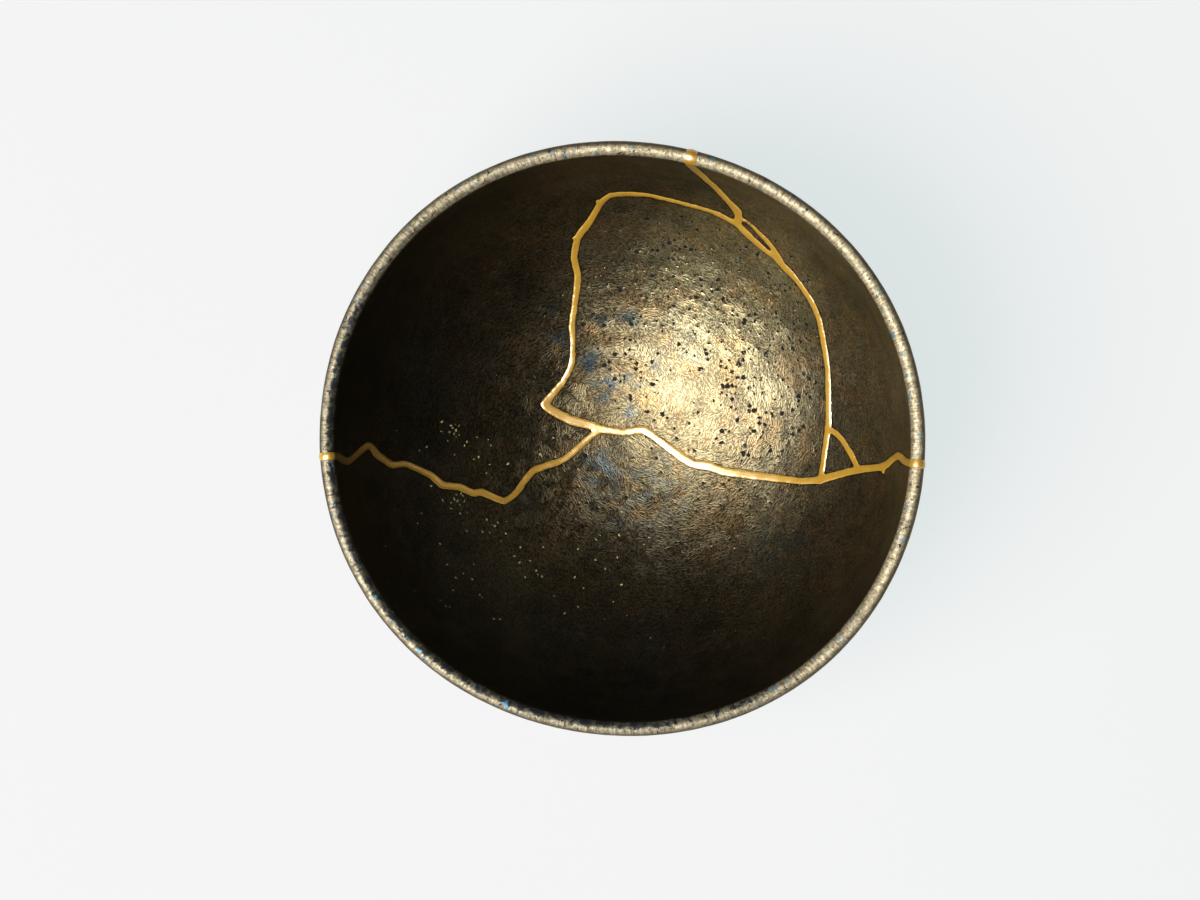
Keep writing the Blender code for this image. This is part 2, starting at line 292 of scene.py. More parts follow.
# Gold lines as a field of distances on the photo plane, in pixels, and how it is made
FIELD_STEP = 0.5
FIELD_LOW = (250.0, 80.0)
FIELD_COLUMNS = 1500
FIELD_ROWS = 900
FIELD_REACH = 14.0
FIELD_FAR = 20.0
SOFTENINGS = 5
COURSE_STEP = 1.5
BENT_SHARE = 0.45
STRAIGHT_SHARE = 0.55
GOLD_INSET = 0.3
RAGGED_NEAR = 4.0
RAGGED_SCALE = 0.16
LEAST_LOOP = 20
LUMP_SCALE = 0.09


def smooth_course(course):
    """A curve through the points of a course, with its width, every pixel or so."""
    points = [np.array(point, float) for point in course]
    points = [2 * points[0] - points[1]] + points + [2 * points[-1] - points[-2]]
    curve = []
    for a, b, c, d in zip(points, points[1:], points[2:], points[3:]):
        length = np.linalg.norm((c - b)[:2])
        pieces = max(int(length / COURSE_STEP), 1)
        for step in range(pieces):
            t = step / pieces
            bend = 0.5 * ((2 * b) + (c - a) * t + (2 * a - 5 * b + 4 * c - d) * t * t
                          + (3 * b - a - 3 * c + d) * t ** 3)
            curve.append(BENT_SHARE * bend + STRAIGHT_SHARE * (b + (c - b) * t))
    curve.append(points[-2])
    return np.array(curve)


def gold_field():
    """Distance to the edge of the gold, less than 0 inside it, and the half width there."""
    columns = FIELD_LOW[0] + FIELD_STEP * np.arange(FIELD_COLUMNS)
    rows = FIELD_LOW[1] + FIELD_STEP * np.arange(FIELD_ROWS)
    field = np.full((FIELD_ROWS, FIELD_COLUMNS), FIELD_FAR)
    half = np.full((FIELD_ROWS, FIELD_COLUMNS), 3.0)

    def cells_near(a, b, axis):
        low = min(a[axis], b[axis]) - FIELD_REACH - FIELD_LOW[axis]
        high = max(a[axis], b[axis]) + FIELD_REACH - FIELD_LOW[axis]
        return slice(max(int(low / FIELD_STEP), 0), int(high / FIELD_STEP))

    for course in SEAMS:
        curve = smooth_course(course)
        for a, b in zip(curve[:-1], curve[1:]):
            box = (cells_near(a, b, 1), cells_near(a, b, 0))
            x = columns[box[1]][None, :]
            y = rows[box[0]][:, None]
            run = b[:2] - a[:2]
            share = ((x - a[0]) * run[0] + (y - a[1]) * run[1]) / max(run @ run, 1e-9)
            share = np.clip(share, 0.0, 1.0)
            away = np.hypot(x - a[0] - share * run[0], y - a[1] - share * run[1])
            width = 0.5 * (a[2] + share * (b[2] - a[2])) - GOLD_INSET
            here = away - width
            patch = field[box]
            nearer = here < patch
            half[box][nearer] = width[nearer]
            patch[nearer] = here[nearer]
    for _ in range(SOFTENINGS):
        field[1:-1, :] = 0.25 * (field[:-2, :] + 2 * field[1:-1, :] + field[2:, :])
        field[:, 1:-1] = 0.25 * (field[:, :-2] + 2 * field[:, 1:-1] + field[:, 2:])
    for row, column in np.argwhere(np.abs(field) < RAGGED_NEAR):
        spot = Vector((columns[column] * RAGGED_SCALE, rows[row] * RAGGED_SCALE, 3.0))
        field[row, column] += 0.42 * noise.noise(spot) + 0.22 * noise.noise(spot * 2.7)
    return field, half


def sampled(grid, x, y):
    """Read a field between its points."""
    u = np.clip((x - FIELD_LOW[0]) / FIELD_STEP, 0, FIELD_COLUMNS - 1.001)
    v = np.clip((y - FIELD_LOW[1]) / FIELD_STEP, 0, FIELD_ROWS - 1.001)
    column = u.astype(int)
    row = v.astype(int)
    s = u - column
    t = v - row
    return ((1 - s) * (1 - t) * grid[row, column] + s * (1 - t) * grid[row, column + 1]
            + (1 - s) * t * grid[row + 1, column] + s * t * grid[row + 1, column + 1])


def outline_loops(field):
    """Closed outlines of the gold, followed from cell to cell of the field."""
    inside = field < 0.0
    code = (inside[:-1, :-1] * 1 + inside[:-1, 1:] * 2 + inside[1:, 1:] * 4
            + inside[1:, :-1] * 8)
    sides = {1: "LT", 2: "TR", 3: "LR", 4: "RB", 5: "LT RB", 6: "TB", 7: "LB", 8: "BL",
             9: "BT", 10: "TR BL", 11: "BR", 12: "RL", 13: "RT", 14: "TL"}
    corners = {"T": (0, 0, 0, 1), "B": (1, 0, 1, 1), "L": (0, 0, 1, 0), "R": (0, 1, 1, 1)}

    def crossing(row, column, side):
        """Key and place of the point where the outline crosses a side of a cell."""
        down, right, down_next, right_next = corners[side]
        a = field[row + down, column + right]
        b = field[row + down_next, column + right_next]
        share = a / (a - b)
        row = row + down
        column = column + right
        if side in "LR":
            return (row, column, 1), (column, row + share)
        return (row, column, 0), (column + share, row)

    links = {}
    places = {}
    for row, column in np.argwhere((code > 0) & (code < 15)):
        for pair in sides[int(code[row, column])].split():
            first, spot_a = crossing(row, column, pair[0])
            second, spot_b = crossing(row, column, pair[1])
            places[first] = spot_a
            places[second] = spot_b
            links.setdefault(first, []).append(second)
            links.setdefault(second, []).append(first)
    loops = []
    unused = set(links)
    while unused:
        start = unused.pop()
        loop = [start]
        here = start
        while True:
            ahead = [key for key in links[here] if key in unused]
            if not ahead:
                break
            here = ahead[0]
            unused.discard(here)
            loop.append(here)
        if len(loop) > LEAST_LOOP:
            spots = np.array([places[key] for key in loop])
            spots = spots * FIELD_STEP + np.array(FIELD_LOW)
            loops.append(even_loop(spots, EDGE_STEP / PIXEL))
    return loops


def even_loop(spots, step):
    """The same closed outline with points an even step apart."""
    closed = np.vstack((spots, spots[:1]))
    run = np.concatenate(([0.0], np.cumsum(np.linalg.norm(np.diff(closed, axis=0), axis=1))))
    count = max(int(run[-1] / step), 6)
    at = np.linspace(0.0, run[-1], count, endpoint=False)
    return np.stack((np.interp(at, run, closed[:, 0]), np.interp(at, run, closed[:, 1])), axis=-1)


def to_plane(photo):
    """Photo pixels to metres on the plane of the rim."""
    photo = np.asarray(photo, float)
    return np.stack(((photo[..., 0] - PHOTO_CENTRE[0]) * PIXEL,
                     (PHOTO_CENTRE[1] - photo[..., 1]) * PIXEL), axis=-1)


def to_photo(plane):
    """Metres on the plane of the rim to photo pixels."""
    return np.stack((plane[..., 0] / PIXEL + PHOTO_CENTRE[0],
                     PHOTO_CENTRE[1] - plane[..., 1] / PIXEL), axis=-1)


# Patches of pinholes as (count, x, y, spread across, spread down, radius), in pixels
PINHOLE_PATCHES = (
    (80, 735, 310, 52, 55, 1.05), (60, 765, 380, 45, 60, 1.0), (70, 670, 255, 60, 26, 0.85),
    (34, 720, 440, 60, 45, 1.0), (24, 545, 330, 30, 50, 1.0), (36, 680, 520, 90, 40, 1.0),
)
PINHOLE_TRIES = 30
PINHOLE_APART = 3.2
PINHOLE_LIMIT = 262
PINHOLE_CLEAR = 2.4
PINHOLE_ROOM = 2.2
PINHOLE_OFF_GOLD = 1.2
FULL_TURN = 6.28

# Rings of points round a pinhole as (share of its radius, count)
PINHOLE_RINGS = ((0.0, 1), (0.55, 5), (1.0, 9), (1.45, 10), (2.1, 9))

# Pinholes burst through the glaze, as (x, y, radius) in the photo's frame
random.seed(17)
PINHOLES = []


def strew_pinholes(count, middle_x, middle_y, spread_x, spread_y, size):
    for _ in range(count):
        for _ in range(PINHOLE_TRIES):
            x = random.gauss(middle_x, spread_x)
            y = random.gauss(middle_y, spread_y)
            radius = size * random.uniform(0.6, 1.35)
            apart = all(math.hypot(x - a, y - b) > PINHOLE_APART * (radius + c)
                        for a, b, c in PINHOLES)
            if apart and math.hypot(x - PHOTO_CENTRE[0], y - PHOTO_CENTRE[1]) < PINHOLE_LIMIT:
                PINHOLES.append((x, y, radius))
                break


for patch in PINHOLE_PATCHES:
    strew_pinholes(*patch)


# One flat net of triangles over the photo plane, cut along the gold outlines
def glaze_rings():
    """Radii of the rings of the net, close enough for the inner wall and the foot."""
    radii = [0.0]
    outer_run = np.interp(inner_turn(RADII), OUTER_TURN, OUTER_STEPS)
    outer_height = np.interp(outer_run, OUTER_STEPS, OUTER[:, 1])
    mark = 0
    for index in range(1, len(RADII) - LIP_SAMPLES):
        limit = FOOT_STEP if outer_height[index] < FOOT_ZONE else OUTER_STEP
        if (INNER_RUN[index] - INNER_RUN[mark] >= GLAZE_STEP
                or outer_run[index] - outer_run[mark] >= limit):
            radii.append(RADII[index])
            mark = index
    return radii


def seen_ring(radius, angle):
    """Points of a ring of the inner wall, where the camera sees them on the plane of the rim."""
    seen = seen_radius(np.full(len(angle), radius), angle)
    return np.stack((seen * np.cos(angle), seen * np.sin(angle)), axis=-1)


def inside_rim(plane, gap):
    """Which points of the plane lie inside the inner edge of the lip by a gap."""
    edge = seen_radius(np.full(len(plane), INNER_RADIUS), np.arctan2(plane[:, 1], plane[:, 0]))
    return np.hypot(plane[:, 0], plane[:, 1]) < edge - gap


def away_from(points, x, y):
    """Distance of points from one place."""
    return np.hypot(points[:, 0] - x, points[:, 1] - y)


def net_points(field):
    """Points of the glaze in rings, of the pinholes and of the gold."""
    spots = []
    for ring, radius in enumerate(glaze_rings()):
        count = max(int(2 * math.pi * radius / (GLAZE_STEP * 1.1)), 1)
        spots.append(seen_ring(radius, (np.arange(count) + 0.5 * (ring % 2)) * 2 * math.pi / count))
    spots = np.vstack(spots)
    photo = to_photo(spots)
    clear = sampled(field, photo[:, 0], photo[:, 1]) > GLAZE_OFF_GOLD
    clear &= inside_rim(spots, GLAZE_OFF_RIM)
    for x, y, radius in PINHOLES:
        clear &= away_from(photo, x, y) > PINHOLE_CLEAR * radius
    kept = [spots[clear]]
    for x, y, radius in PINHOLES:
        room = PINHOLE_ROOM * radius + PINHOLE_OFF_GOLD
        if sampled(field, np.array([x]), np.array([y]))[0] < room:
            continue
        turn = random.uniform(0, FULL_TURN)
        stretch = random.uniform(0.7, 1.3)
        for share, count in PINHOLE_RINGS:
            angle = turn + (np.arange(count) + 0.5 * (count % 2)) * 2 * math.pi / count
            wobble = 1.0 + 0.22 * np.array([random.uniform(-1, 1) for _ in range(count)])
            ring = np.stack((x + share * radius * wobble * stretch * np.cos(angle),
                             y + share * radius * wobble / stretch * np.sin(angle)), axis=-1)
            kept.append(to_plane(ring))
    step = GOLD_STEP / PIXEL
    rows = np.arange(FIELD_LOW[1], FIELD_LOW[1] + FIELD_STEP * FIELD_ROWS, step * TRIANGLE_HEIGHT)
    columns = np.arange(FIELD_LOW[0], FIELD_LOW[0] + FIELD_STEP * FIELD_COLUMNS, step)
    x, y = np.meshgrid(columns, rows)
    x = x + 0.5 * step * (np.arange(len(rows)) % 2)[:, None]
    gold = np.stack((x.ravel(), y.ravel()), axis=-1)
    gold = to_plane(gold[sampled(field, gold[:, 0], gold[:, 1]) < -GOLD_OFF_EDGE])
    kept.append(gold[inside_rim(gold, GOLD_OFF_RIM)])
    return np.vstack(kept)


def flat_net(field):
    """Points and triangles of the net, with the edges that lie on an outline."""
    spots = [net_points(field)]
    edges = []
    count = len(spots[0])
    rim = seen_ring(INNER_RADIUS, np.arange(RIM_POINTS) * 2 * math.pi / RIM_POINTS)
    for loop in [rim] + [to_plane(outline) for outline in outline_loops(field)]:
        spots.append(loop)
        edges += [(count + k, count + (k + 1) % len(loop)) for k in range(len(loop))]
        count += len(loop)
    flat = np.vstack(spots)
    found = delaunay_2d_cdt([Vector(spot) for spot in flat], edges, [], 0, 1e-7)
    plane = np.array([(spot.x, spot.y) for spot in found[0]])
    triangles = np.array([face for face in found[2] if len(face) == 3])
    fixed = {tuple(sorted(edge)) for edge, source in zip(found[1], found[4]) if source}
    triangles = triangles[inside_rim(plane[triangles].mean(axis=1), 0.0)]
    a, b, c = (plane[triangles[:, k]] for k in range(3))
    area = (b[:, 0] - a[:, 0]) * (c[:, 1] - a[:, 1]) - (b[:, 1] - a[:, 1]) * (c[:, 0] - a[:, 0])
    triangles[area < 0] = triangles[area < 0][:, ::-1]
    return plane, triangles, fixed


def sides_of(face):
    a, b, c = face
    return (a, b), (b, c), (c, a)


def regions(triangles, fixed):
    """Groups of triangles that no outline parts."""
    at_edge = {}
    for index, face in enumerate(triangles.tolist()):
        for a, b in sides_of(face):
            key = (min(a, b), max(a, b))
            if key not in fixed:
                at_edge.setdefault(key, []).append(index)
    neighbours = [[] for _ in range(len(triangles))]
    for pair in at_edge.values():
        if len(pair) == 2:
            neighbours[pair[0]].append(pair[1])
            neighbours[pair[1]].append(pair[0])
    group = np.full(len(triangles), -1)
    number = 0
    for start in range(len(triangles)):
        if group[start] >= 0:
            continue
        group[start] = number
        ahead = [start]
        while ahead:
            here = ahead.pop()
            for other in neighbours[here]:
                if group[other] < 0:
                    group[other] = number
                    ahead.append(other)
        number += 1
    return group, number


def build_net():
    """The whole net with what every point needs to know about the bowl."""
    field, half = gold_field()
    plane, triangles, fixed = flat_net(field)
    group, number = regions(triangles, fixed)
    photo = to_photo(plane)
    distance = sampled(field, photo[:, 0], photo[:, 1])
    width = sampled(half, photo[:, 0], photo[:, 1])
    angle = np.arctan2(plane[:, 1], plane[:, 0])
    radius = wall_radius(np.hypot(plane[:, 0], plane[:, 1]), angle)
    rim_edges = {key for key, uses in edge_uses(triangles).items() if uses == 1}
    on_rim = np.zeros(len(plane), bool)
    on_rim[list({corner for key in rim_edges for corner in key})] = True
    radius[on_rim] = INNER_RADIUS
    across = 1.0 - np.clip(-distance / np.maximum(width, 0.5), 0.0, 1.0)
    lumps = np.array([noise.noise(Vector((x * LUMP_SCALE, y * LUMP_SCALE, 7.0))) for x, y in photo])
    pit = np.zeros(len(plane))
    for x, y, size in PINHOLES:
        away = away_from(photo, x, y) / size
        pit = np.maximum(pit, np.clip(1.35 - 0.75 * away, 0.0, 1.0))
    speck = np.zeros(len(plane))
    for x, y, reach, share in SPECK_PATCHES:
        away = away_from(photo, x, y) / reach
        speck = np.maximum(speck, share * np.exp(-away ** 2))
    return {
        "photo": photo, "triangles": triangles, "group": group, "number": number,
        "away": distance, "radius": radius, "angle": angle, "on_rim": on_rim,
        "rim_edges": rim_edges, "across": across, "pit": pit, "speck": speck,
        "height": GOLD_RISE * (1.0 - across ** 8) ** 0.5 * (0.84 + 0.28 * lumps),
    }


def edge_uses(triangles):
    """How many triangles share each edge."""
    uses = {}
    for face in triangles.tolist():
        for a, b in sides_of(face):
            key = (min(a, b), max(a, b))
            uses[key] = uses.get(key, 0) + 1
    return uses


def lip_points(angle, turns, lift):
    """Points over the round lip, from its inner side to its outer side, with their facing."""
    over = turned(INNER_RADIUS + LIP_RADIUS - lift * np.cos(turns), angle,
                  LIP_LEVEL + lift * np.sin(turns))
    return over, turned(-np.cos(turns), np.full_like(turns, angle), np.sin(turns))


def shell_piece(name, net, chosen, is_gold, glaze_tone=1.0):
    """One closed body: inner face, outer face, the lip and the walls of the breaks."""
    inner_faces = net["triangles"][chosen]
    used, compact = np.unique(inner_faces, return_inverse=True)
    inner_faces = compact.reshape(inner_faces.shape)
    count = len(used)
    radius = net["radius"][used]
    angle = net["angle"][used]
    lift = net["height"][used] if is_gold else -PIT_DEPTH * net["pit"][used]
    level = inner_level(radius)
    normal = inner_normal(radius)
    points = [turned(radius + normal[:, 0] * lift, angle, level + normal[:, 1] * lift)]
    facings = [turned(normal[:, 0], angle, normal[:, 1])]

    turn = np.where(net["on_rim"][used], INNER_EDGE_TURN, inner_turn(radius))
    run = np.interp(turn, OUTER_TURN, OUTER_STEPS)
    under = [np.interp(run, OUTER_STEPS, OUTER[:, k]) for k in (0, 1)]
    outward = [np.interp(run, OUTER_STEPS, OUTER_NORMAL[:, k]) for k in (0, 1)]
    above_sole = np.clip((under[1] - SOLE_FLAT) / SOLE_FADE, 0.0, 1.0)
    rise = net["height"][used] * above_sole * is_gold
    points.append(turned(np.maximum(under[0] + outward[0] * rise, 0.0), angle,
                         under[1] + outward[1] * rise))
    facings.append(turned(outward[0], angle, outward[1]))

    turns = math.pi * np.arange(1, LIP_ROWS) / LIP_ROWS
    lip_rows = {}
    total = 2 * count
    for corner in np.flatnonzero(net["on_rim"][used]):
        over, facing = lip_points(angle[corner], turns, LIP_RADIUS + max(lift[corner], 0.0))
        points.append(over)
        facings.append(facing)
        lip_rows[corner] = [corner, *range(total, total + LIP_ROWS - 1), corner + count]
        total += LIP_ROWS - 1

    mesh = bpy.data.meshes.new(name)
    faces = shell_faces(inner_faces, used, lip_rows, net["rim_edges"])
    mesh.from_pydata(np.vstack(points).tolist(), [], faces)

    def whole(inner, outer, over_rim=None):
        """One value a point: on the inner face, on the outer face and over the lip."""
        values = np.zeros(total)
        values[:count] = inner
        values[count:2 * count] = outer
        for corner, rows in lip_rows.items():
            values[rows[1:-1]] = values[corner] if over_rim is None else over_rim
        return values

    rim_run = 0.5 * math.pi * LIP_RADIUS
    from_lip = whole(rim_run + np.interp(radius, RADII, RUN_TO_LIP),
                     rim_run + OUTER_STEPS[-1] - run, np.abs(turns - 0.5 * math.pi) * LIP_RADIUS)
    for label in ("pit", "speck"):
        add_values(mesh, label, whole(net[label][used], 0.0, 0.0))
    for label in ("across", "away"):
        add_values(mesh, label, whole(net[label][used], net[label][used]))
    add_values(mesh, "inside", whole(1.0, 0.0, 0.0))
    add_values(mesh, "glaze_tone", np.full(total, glaze_tone))
    add_values(mesh, "from_lip", from_lip)
    add_values(mesh, "lip", np.clip(1.0 - (from_lip - rim_run) / LIP_FADE, 0.0, 1.0))
    add_values(mesh, "over_lip", whole(-1.0, 1.0, turns / (0.5 * math.pi) - 1.0))
    add_values(mesh, "relief", whole(1.0, np.clip(under[1] / FOOT_FADE, 0.0, 1.0), 1.0))
    layer = mesh.attributes.new("facing", "FLOAT_VECTOR", "POINT")
    layer.data.foreach_set("vector", np.vstack(facings).astype(np.float32).ravel())
    return added(name, mesh)


def shell_faces(inner_faces, used, lip_rows, rim_edges):
    """Faces of the inner and the outer side, of the lip between them and of the breaks."""
    count = len(used)
    faces = inner_faces.tolist() + (inner_faces[:, ::-1] + count).tolist()
    for a, b in open_edges(inner_faces):
        if tuple(sorted((int(used[a]), int(used[b])))) in rim_edges:
            rows = zip(lip_rows[a], lip_rows[b], lip_rows[a][1:], lip_rows[b][1:])
            faces += [(first_b, first_a, next_a, next_b) for first_a, first_b, next_a, next_b in rows]
        else:
            faces.append((b, a, a + count, b + count))
            if a in lip_rows:
                faces.append(tuple(lip_rows[a]))
            if b in lip_rows:
                faces.append(tuple(reversed(lip_rows[b])))
    return [tuple(map(int, face)) for face in faces]


def open_edges(faces):
    """Edges of the faces that have a face on one side only, in the faces' own direction."""
    once = {}
    for face in faces.tolist():
        for first, second in sides_of(face):
            if (second, first) in once:
                del once[(second, first)]
            else:
                once[(first, second)] = True
    return once


def add_values(mesh, name, values):
    layer = mesh.attributes.new(name, "FLOAT", "POINT")
    layer.data.foreach_set("value", np.asarray(values, np.float32))


def added(name, data):
    """A new object in the scene."""
    made = bpy.data.objects.new(name, data)
    bpy.context.scene.collection.objects.link(made)
    return made


# Short words for building node trees
def feed(tree, socket, value):
    if isinstance(value, bpy.types.NodeSocket):
        tree.links.new(value, socket)
    else:
        socket.default_value = value


def feed_all(tree, node, **inputs):
    """Feed the inputs of a node by name."""
    for name, value in inputs.items():
        feed(tree, node.inputs[name.replace("_", " ")], value)


def place(tree, kind, settings=None, **inputs):
    """Add a node, set its properties and feed its inputs by name."""
    made = tree.nodes.new(kind)
    for name, value in (settings or {}).items():
        setattr(made, name, value)
    feed_all(tree, made, **inputs)
    return made


def calc(tree, operation, *values):
    made = place(tree, "ShaderNodeMath", {"operation": operation})
    for socket, value in zip(made.inputs, values):
        feed(tree, socket, value)
    return made.outputs[0]


def times(tree, value, factor):
    return calc(tree, "MULTIPLY", value, factor)


def times_plus(tree, value, factor, base):
    """A value times a factor, plus a base."""
    return calc(tree, "MULTIPLY_ADD", value, factor, base)


def rest_of(tree, value):
    """What is left of 1."""
    return calc(tree, "SUBTRACT", 1.0, value)


def vector_calc(tree, operation, *values, scale=None):
    made = place(tree, "ShaderNodeVectorMath", {"operation": operation})
    for socket, value in zip(made.inputs, values):
        feed(tree, socket, value)
    if scale is not None:
        feed(tree, made.inputs["Scale"], scale)
    single = operation in ("LENGTH", "DISTANCE", "DOT_PRODUCT")
    return made.outputs["Value" if single else "Vector"]


def parts_of(tree, vector):
    made = place(tree, "ShaderNodeSeparateXYZ", Vector=vector)
    return made.outputs["X"], made.outputs["Y"], made.outputs["Z"]


def joined(tree, x=0.0, y=0.0, z=0.0):
    return place(tree, "ShaderNodeCombineXYZ", X=x, Y=y, Z=z).outputs[0]


def mapped(tree, value, low, high, start=0.0, end=1.0):
    """Smooth step of a value from low..high to start..end."""
    made = place(tree, "ShaderNodeMapRange", {"interpolation_type": "SMOOTHSTEP"})
    for socket, number in zip(made.inputs, (value, low, high, start, end)):
        feed(tree, socket, number)
    return made.outputs[0]


def mixed(tree, share, first, second, way="MIX"):
    made = place(tree, "ShaderNodeMix", {"data_type": "RGBA", "blend_type": way})
    for index, value in ((0, share), (6, first), (7, second)):
        feed(tree, made.inputs[index], value)
    return made.outputs[2]


def tinted(tree, share, colour, tint):
    """A colour times a tint, where a share from 0 to 1 lets it."""
    return mixed(tree, share, colour, mixed(tree, 1.0, colour, tint, "MULTIPLY"))


def cloud(tree, vector, size, detail=2.0, roughness=0.5, distortion=0.0):
    """Noise whose lumps are about a size in metres, from 0 to 1."""
    made = place(tree, "ShaderNodeTexNoise", Vector=vector, Scale=1.0 / size, Detail=detail,
                 Roughness=roughness, Distortion=distortion)
    return made.outputs[0]


def new_tree(name, kind, inputs, outputs):
    """A node group with named sockets, given as (name, kind, value)."""
    tree = bpy.data.node_groups.new(name, kind)
    for side, sockets in (("INPUT", inputs), ("OUTPUT", outputs)):
        for label, form, value in sockets:
            made = tree.interface.new_socket(label, in_out=side, socket_type="NodeSocket" + form)
            if value is not None:
                made.default_value = value
    start = tree.nodes.new("NodeGroupInput").outputs
    end = tree.nodes.new("NodeGroupOutput").inputs
    return tree, start, end


def finish_tree(tree, start, end, geometry):
    """End a geometry tree with a real mesh in one material."""
    whole = place(tree, "GeometryNodeRealizeInstances", Geometry=geometry).outputs[0]
    dressed = place(tree, "GeometryNodeSetMaterial", Geometry=whole, Material=start["Material"])
    feed(tree, end["Geometry"], dressed.outputs[0])


def value_of(tree, name):
    """A stored value of the mesh, in a geometry tree."""
    made = place(tree, "GeometryNodeInputNamedAttribute", {"data_type": "FLOAT"}, Name=name)
    return made.outputs[0]


def applied(piece, tree, **values):
    """Run a geometry tree on a piece and keep the result as its plain mesh."""
    modifier = piece.modifiers.new(tree.name, "NODES")
    modifier.node_group = tree
    for item in tree.interface.items_tree:
        word = item.name.replace(" ", "_")
        if item.in_out == "INPUT" and word in values:
            modifier[item.identifier] = values[word]
    ready = piece.evaluated_get(bpy.context.evaluated_depsgraph_get())
    mesh = bpy.data.meshes.new_from_object(ready)
    piece.modifiers.remove(modifier)
    return mesh


# Shape that the potter's hands gave: oval, wavy at the rim, with faint throwing rings
def thrown_form():
    tree, start, end = new_tree("thrown_form", "GeometryNodeTree", [
        ("Geometry", "Geometry", None), ("Height", "Float", HEIGHT),
        ("Oval", "Float", OVAL), ("Oval angle", "Float", OVAL_ANGLE),
        ("Square", "Float", SQUARE), ("Square angle", "Float", SQUARE_ANGLE),
        ("Rim wave", "Float", RIM_WAVE), ("Rim wave angle", "Float", RIM_WAVE_ANGLE),
        ("Ring spacing", "Float", 0.0052), ("Ring depth", "Float", 0.00005),
        ("Unevenness", "Float", 0.00016), ("Lip wear", "Float", 0.00012),
        ("Seed", "Float", 4.0), ("Material", "Material", None),
    ], [("Geometry", "Geometry", None)])
    spot = tree.nodes.new("GeometryNodeInputPosition").outputs[0]
    x, y, z = parts_of(tree, spot)
    angle = calc(tree, "ARCTAN2", y, x)
    share = calc(tree, "DIVIDE", z, start["Height"])

    def ripple(waves, size, turn):
        bend = times(tree, calc(tree, "SUBTRACT", angle, start[turn]), waves)
        return times(tree, calc(tree, "COSINE", bend), start[size])

    swell = calc(tree, "ADD", ripple(2.0, "Oval", "Oval angle"),
                 ripple(4.0, "Square", "Square angle"))
    spread = times_plus(tree, share, swell, 1.0)
    lift = times_plus(tree, share, ripple(2.0, "Rim wave", "Rim wave angle"), 1.0)
    formed = joined(tree, times(tree, x, spread), times(tree, y, spread), times(tree, z, lift))

    shifted = vector_calc(tree, "ADD", spot, joined(tree, 0.0, 0.0, start["Seed"]))
    dents = times(tree, cloud(tree, shifted, 0.016, 2.0), start["Unevenness"])
    away = vector_calc(tree, "LENGTH", spot)
    rounds = calc(tree, "DIVIDE", away, start["Ring spacing"])
    drift = cloud(tree, shifted, 0.030, 1.0)
    phase = times_plus(tree, drift, 5.0, times(tree, rounds, 2 * math.pi))
    rings = times_plus(tree, calc(tree, "SINE", phase), 0.5, 0.5)
    rings = times(tree, rings, start["Ring depth"])
    worn = times(tree, cloud(tree, shifted, 0.0032, 2.0), start["Lip wear"])
    worn = times(tree, worn, value_of(tree, "lip"))
    sunk = times(tree, calc(tree, "ADD", dents, rings), value_of(tree, "relief"))
    sunk = times(tree, calc(tree, "ADD", sunk, worn), -1.0)
    facing = place(tree, "GeometryNodeInputNamedAttribute", {"data_type": "FLOAT_VECTOR"},
                   Name="facing").outputs[0]
    moved = place(tree, "GeometryNodeSetPosition", Geometry=start["Geometry"], Position=formed,
                  Offset=vector_calc(tree, "SCALE", facing, scale=sunk)).outputs[0]
    finish_tree(tree, start, end, moved)
    return tree


# Pale crystals that stand out of the glaze in a few patches, least and most as shares of a size
CRYSTAL_LEAST = (0.45, 0.45, 0.18)
CRYSTAL_MOST = (1.5, 0.95, 0.40)


def strewn_crystals():
    tree, start, end = new_tree("strewn_crystals", "GeometryNodeTree", [
        ("Geometry", "Geometry", None), ("Density", "Float", 620000.0),
        ("Crystal size", "Float", 0.00033), ("Seed", "Int", 5), ("Material", "Material", None),
    ], [("Geometry", "Geometry", None)])
    density = times(tree, value_of(tree, "speck"), start["Density"])
    density = times(tree, density, value_of(tree, "inside"))
    off_the_break = calc(tree, "GREATER_THAN", value_of(tree, "away"), 0.5)
    density = times(tree, density, off_the_break)
    strewn = place(tree, "GeometryNodeDistributePointsOnFaces", {"distribute_method": "RANDOM"},
                   Mesh=start["Geometry"], Density=density, Seed=start["Seed"])
    grain = place(tree, "GeometryNodeMeshIcoSphere", Radius=start["Crystal size"], Subdivisions=1)
    turned_about = place(tree, "FunctionNodeRandomValue", {"data_type": "FLOAT"}, Seed=start["Seed"])
    feed(tree, turned_about.inputs[2], 0.0)
    feed(tree, turned_about.inputs[3], FULL_TURN)
    spin = joined(tree, 0.0, 0.0, turned_about.outputs[1])
    turning = place(tree, "FunctionNodeRotateEuler", {"rotation_type": "EULER", "space": "LOCAL"},
                    Rotation=strewn.outputs["Rotation"], Rotate_By=spin)
    sizes = place(tree, "FunctionNodeRandomValue", {"data_type": "FLOAT_VECTOR"}, Seed=start["Seed"])
    feed(tree, sizes.inputs[0], CRYSTAL_LEAST)
    feed(tree, sizes.inputs[1], CRYSTAL_MOST)
    copies = place(tree, "GeometryNodeInstanceOnPoints", Points=strewn.outputs["Points"],
                   Instance=grain.outputs["Mesh"], Rotation=turning.outputs[0],
                   Scale=sizes.outputs[0])
    finish_tree(tree, start, end, copies.outputs[0])
    return tree


